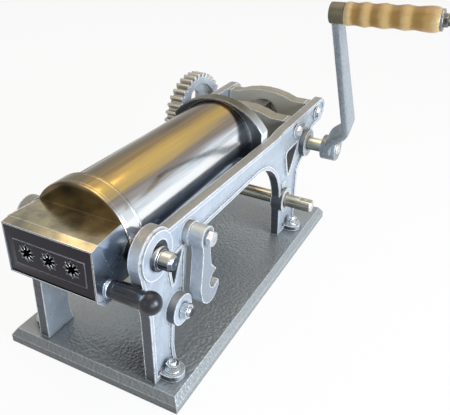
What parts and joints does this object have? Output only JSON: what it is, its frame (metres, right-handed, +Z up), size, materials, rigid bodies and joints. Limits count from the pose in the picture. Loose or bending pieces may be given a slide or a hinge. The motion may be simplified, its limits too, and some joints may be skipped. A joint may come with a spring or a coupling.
{
  "type": "churro maker",
  "caption": "Hand-cranked churro press: steel barrel with star nozzle between cast side frames, rack piston, two-speed gear, tilt handle, latch hook and long crank with wooden grip.",
  "frame": {"origin": "underside of the base board, at its middle", "axes": "+Z up, nozzle towards -Y, crank side towards +X, rack tail towards +Y"},
  "size_m": [0.3813, 0.5163, 0.3623],
  "materials": {
    "board_paint": "grey hammered paint",
    "silver_paint": "silver paint on cast metal",
    "cast_aluminium": "as cast, edges milled",
    "gear_iron": "cast and turned",
    "hammered_paint": "silver hammered paint on a casting",
    "flange_casting": "as cast, dull",
    "polished_steel": "mirror-polished stainless steel",
    "die_steel": "pressed stainless plate",
    "turned_steel": "turned bright steel",
    "cut_steel": "machine-cut steel, lightly oiled",
    "zinc": "zinc-plated",
    "nickel": "nickel-plated, worn warm",
    "black_oxide": "blackened",
    "bronze": "plain bronze",
    "piston_aluminium": "turned",
    "bakelite": "polished black bakelite",
    "varnished_wood": "clear varnish",
    "seal_rubber": "food-grade rubber"
  },
  "bodies": {
    "press_frame": {"base_board": "board_paint", "right_side_frame": "silver_paint", "left_side_frame": "silver_paint", "foot_bolts": "zinc", "foot_washers": "zinc", "foot_nuts": "zinc", "front_tie_rod": "turned_steel", "tie_rod_nuts": "zinc", "front_cross_bar": "cast_aluminium", "rear_cross_bar": "cast_aluminium", "cross_bar_bolts": "zinc", "drive_bushes": "bronze", "layshaft_bushes": "bronze", "barrel": "polished_steel", "rear_flange": "flange_casting", "nozzle_cap": "polished_steel", "nozzle_box": "polished_steel", "die_plate": "die_steel", "right_trunnion_pin": "turned_steel", "left_trunnion_pin": "turned_steel", "handle_stud": "zinc", "handle_washer": "zinc", "tilt_handle": "bakelite", "latch_bolt": "zinc"},
    "drive": {"drive_shaft": "turned_steel", "rack_pinion": "cut_steel", "main_gear": "gear_iron", "drive_keys": "cut_steel", "drive_collar": "turned_steel", "drive_collar_screw": "black_oxide", "crank_arm": "hammered_paint", "grip_spindle": "turned_steel", "grip_washer": "zinc", "grip_dome_nut": "nickel"},
    "slow_shaft": {"layshaft": "turned_steel", "lay_pinion": "cut_steel", "lay_key": "cut_steel", "lay_collar": "turned_steel", "lay_collar_screw": "black_oxide"},
    "ram": {"rack": "cut_steel", "piston_disc": "piston_aluminium", "piston_seal": "seal_rubber", "piston_washer": "zinc", "piston_nut": "zinc"},
    "grip": {"wooden_grip": "varnished_wood"},
    "latch": {"latch_hook": "silver_paint"}
  },
  "joints": [
    {"name": "crank_turn", "type": "hinge", "parent": "press_frame", "child": "drive", "pos_m": [0, 0.18649, 0.13398], "axis": [-1, 0, 0], "range_deg": [0, 634.34]},
    {"name": "ram_slide", "type": "slide", "parent": "press_frame", "child": "ram", "axis": [0, 1, 0], "range_m": [0, 0.279]},
    {"name": "layshaft_turn", "type": "hinge", "parent": "press_frame", "child": "slow_shaft", "pos_m": [0, 0.11742, 0.07351], "axis": [-1, 0, 0], "range_deg": [-1855, 0]},
    {"name": "grip_spin", "type": "hinge", "parent": "drive", "child": "grip", "pos_m": [0.13885, 0.05544, 0.34453], "axis": [0.9988, 0, 0.0488], "continuous": true},
    {"name": "latch_swing", "type": "hinge", "parent": "press_frame", "child": "latch", "pos_m": [0.09215, -0.13769, 0.1615], "axis": [1, 0, 0], "range_deg": [0, 250]}
  ],
  "couplings": [
    {"joint": "ram_slide", "follows": "crank_turn", "m_per_rad": 0.0252},
    {"joint": "layshaft_turn", "follows": "crank_turn", "ratio": -2.9231}
  ]
}
